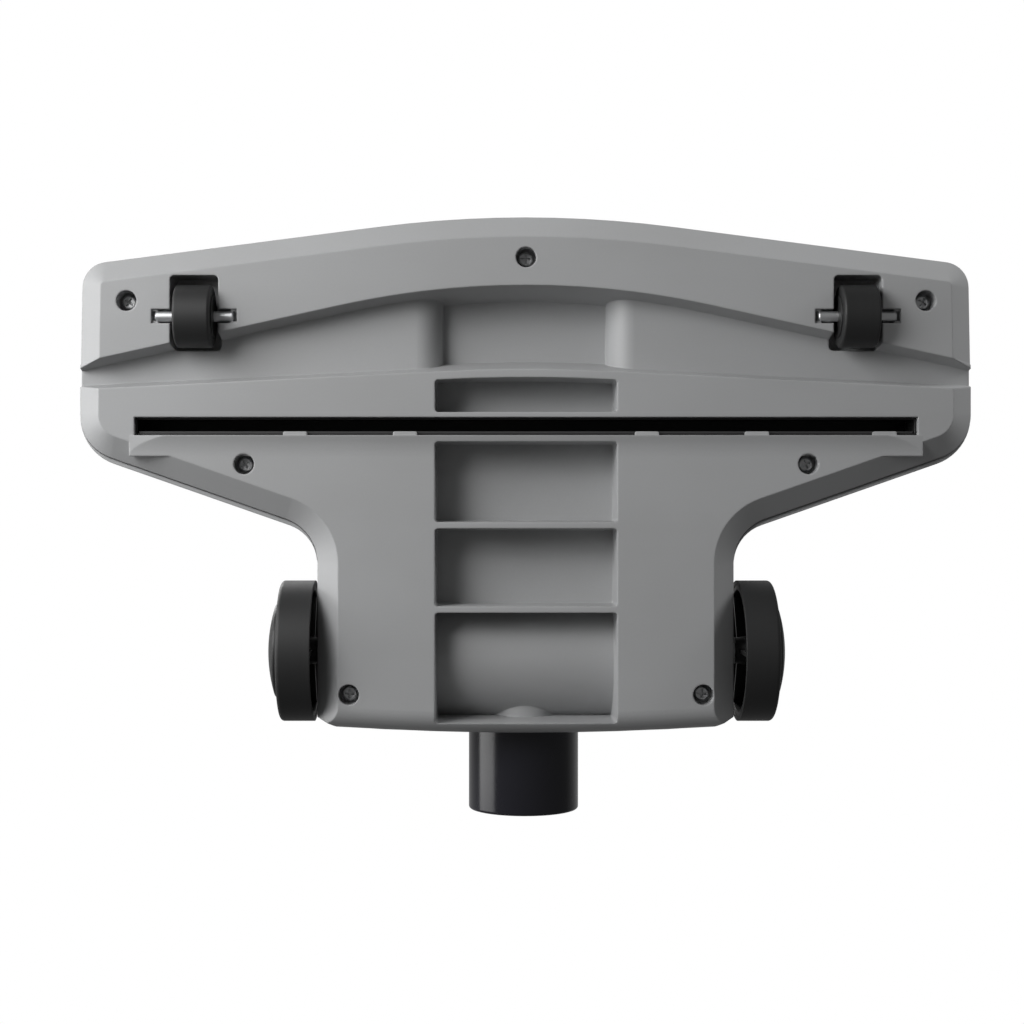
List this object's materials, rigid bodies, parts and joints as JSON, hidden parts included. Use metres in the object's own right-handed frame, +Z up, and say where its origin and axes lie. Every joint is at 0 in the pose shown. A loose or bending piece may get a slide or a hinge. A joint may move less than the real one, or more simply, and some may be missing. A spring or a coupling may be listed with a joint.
{
  "type": "wet and dry floor scrubber head",
  "caption": "Wide low floor head with a suction slot, front rollers, rear wheels and a tilting neck that takes a wand.",
  "frame": {"origin": "on the floor under the middle of the head's length and width, neck lying back", "axes": "+Z up, +X to the head's side, the head's front edge faces -Y and its neck +Y"},
  "size_m": [0.345, 0.2332, 0.0758],
  "materials": {
    "sole_plastic": "satin mid-grey moulded ABS",
    "cover_plastic": "satin mid-grey moulded ABS",
    "black_plastic": "satin black moulded plastic",
    "neck_plastic": "glossy black moulded plastic",
    "tread_rubber": "smooth black rubber",
    "seal_rubber": "soft dark rubber",
    "bearing_plastic": "white slippery moulded plastic",
    "steel": "bright drawn steel",
    "screw_steel": "zinc-plated steel"
  },
  "bodies": {
    "head": {"base_plate": "sole_plastic", "top_cover": "cover_plastic", "duct_cover": "black_plastic", "duct_gasket": "seal_rubber", "slot_liner": "black_plastic", "wiper_strip": "seal_rubber", "left_neck_bearing": "bearing_plastic", "right_neck_bearing": "bearing_plastic", "left_wheel_axle": "steel", "right_wheel_axle": "steel", "left_axle_clip": "screw_steel", "right_axle_clip": "screw_steel", "left_roller_pin": "steel", "right_roller_pin": "steel", "cover_screws": "screw_steel", "duct_screws": "screw_steel"},
    "neck": {"neck_barrel": "neck_plastic", "neck_tube": "neck_plastic", "wand_seal": "seal_rubber", "left_neck_seal": "seal_rubber", "right_neck_seal": "seal_rubber"},
    "left_wheel": {"left_wheel_hub": "black_plastic", "left_wheel_tyre": "tread_rubber", "left_hubcap": "black_plastic"},
    "left_roller": {"left_roller_core": "black_plastic", "left_roller_tread": "tread_rubber"},
    "right_wheel": {"right_wheel_hub": "black_plastic", "right_wheel_tyre": "tread_rubber", "right_hubcap": "black_plastic"},
    "right_roller": {"right_roller_core": "black_plastic", "right_roller_tread": "tread_rubber"}
  },
  "joints": [
    {"name": "neck_tilt", "type": "hinge", "parent": "head", "child": "neck", "pos_m": [0, 0.0536, 0.0465], "axis": [1, 0, 0], "range_deg": [0, 80]},
    {"name": "left_wheel_spin", "type": "hinge", "parent": "head", "child": "left_wheel", "pos_m": [-0.0888, 0.0518, 0.0275], "axis": [1, 0, 0], "continuous": true},
    {"name": "left_roller_spin", "type": "hinge", "parent": "head", "child": "left_roller", "pos_m": [-0.12725, -0.0777, 0.012], "axis": [1, 0, 0], "continuous": true},
    {"name": "right_wheel_spin", "type": "hinge", "parent": "head", "child": "right_wheel", "pos_m": [0.0898, 0.0518, 0.0275], "axis": [1, 0, 0], "continuous": true},
    {"name": "right_roller_spin", "type": "hinge", "parent": "head", "child": "right_roller", "pos_m": [0.12725, -0.0777, 0.012], "axis": [1, 0, 0], "continuous": true}
  ]
}
